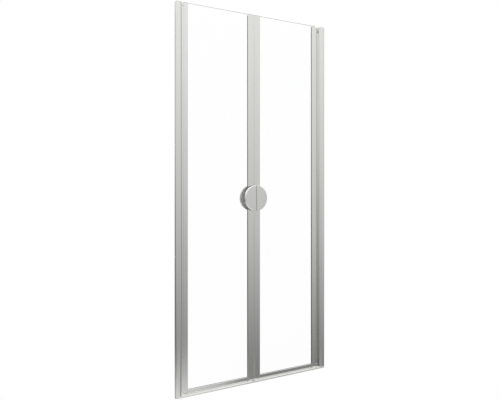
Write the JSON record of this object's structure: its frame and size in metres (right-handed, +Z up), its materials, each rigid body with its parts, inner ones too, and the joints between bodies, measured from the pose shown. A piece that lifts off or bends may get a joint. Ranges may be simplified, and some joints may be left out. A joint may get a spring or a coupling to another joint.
{
  "type": "hinged_shower_door",
  "caption": "Two-leaf swing shower door for a niche, with silver aluminium frame, clear glass leaves that turn both ways on pivots, half-disc handles and a low threshold",
  "frame": {"origin": "on the shower tray, at the middle of the threshold's underside, below the middle of the seam", "axes": "+X across the niche to the right as seen from outside the shower, +Y into the shower, +Z up; both pivot axes are parallel to Z and lie in the plane Y = 0, as the glass does"},
  "size_m": [0.88, 0.064, 1.856],
  "materials": {
    "satin_silver": "satin silver anodised",
    "handle_metal": "satin silver",
    "clear_glass": "clear toughened glass with polished edges",
    "silver_seal": "silver-grey soft plastic with a satin sheen",
    "grey_plastic": "fine matt",
    "bearing_plastic": "smooth, slightly waxy",
    "pin_steel": "ground stainless steel",
    "screw_steel": "bright stainless steel",
    "magnet": "dark magnetic rubber",
    "foam_tape": "matt closed-cell foam"
  },
  "bodies": {
    "frame": {"threshold_profile": "satin_silver", "threshold_tapes": "foam_tape", "locking_screws": "screw_steel", "block_screws": "screw_steel", "left_wall_profile": "satin_silver", "left_wall_cover": "satin_silver", "left_wall_cap": "satin_silver", "left_hinge_channel": "satin_silver", "left_hinge_seal": "silver_seal", "left_bottom_pivot_block": "satin_silver", "left_top_pivot_block": "satin_silver", "left_bottom_pivot_pin": "pin_steel", "left_top_pivot_pin": "pin_steel", "left_thrust_washer": "bearing_plastic", "right_wall_profile": "satin_silver", "right_wall_cover": "satin_silver", "right_wall_cap": "satin_silver", "right_hinge_channel": "satin_silver", "right_hinge_seal": "silver_seal", "right_bottom_pivot_block": "satin_silver", "right_top_pivot_block": "satin_silver", "right_bottom_pivot_pin": "pin_steel", "right_top_pivot_pin": "pin_steel", "right_thrust_washer": "bearing_plastic"},
    "left_leaf": {"left_glass": "clear_glass", "left_hinge_stile": "satin_silver", "left_closing_stile": "satin_silver", "left_bottom_rail": "satin_silver", "left_hinge_gasket": "silver_seal", "left_closing_gasket": "silver_seal", "left_rail_gasket": "silver_seal", "left_sweep_seal": "silver_seal", "left_magnetic_seal": "silver_seal", "left_magnet_strip": "magnet", "left_pivot_bushes": "bearing_plastic", "left_hinge_stile_caps": "grey_plastic", "left_closing_stile_caps": "grey_plastic", "left_front_handle": "handle_metal", "left_back_handle": "handle_metal", "left_handle_spacers": "handle_metal", "left_handle_bolts": "screw_steel"},
    "right_leaf": {"right_glass": "clear_glass", "right_hinge_stile": "satin_silver", "right_closing_stile": "satin_silver", "right_bottom_rail": "satin_silver", "right_hinge_gasket": "silver_seal", "right_closing_gasket": "silver_seal", "right_rail_gasket": "silver_seal", "right_sweep_seal": "silver_seal", "right_magnetic_seal": "silver_seal", "right_magnet_strip": "magnet", "right_pivot_bushes": "bearing_plastic", "right_hinge_stile_caps": "grey_plastic", "right_closing_stile_caps": "grey_plastic", "right_front_handle": "handle_metal", "right_back_handle": "handle_metal", "right_handle_spacers": "handle_metal", "right_handle_bolts": "screw_steel"}
  },
  "joints": [
    {"name": "left_leaf_swing", "type": "hinge", "parent": "frame", "child": "left_leaf", "pos_m": [-0.39925, 0, 0], "axis": [0, 0, 1], "range_deg": [-90, 90]},
    {"name": "right_leaf_swing", "type": "hinge", "parent": "frame", "child": "right_leaf", "pos_m": [0.39925, 0, 0], "axis": [0, 0, -1], "range_deg": [-90, 90]}
  ]
}
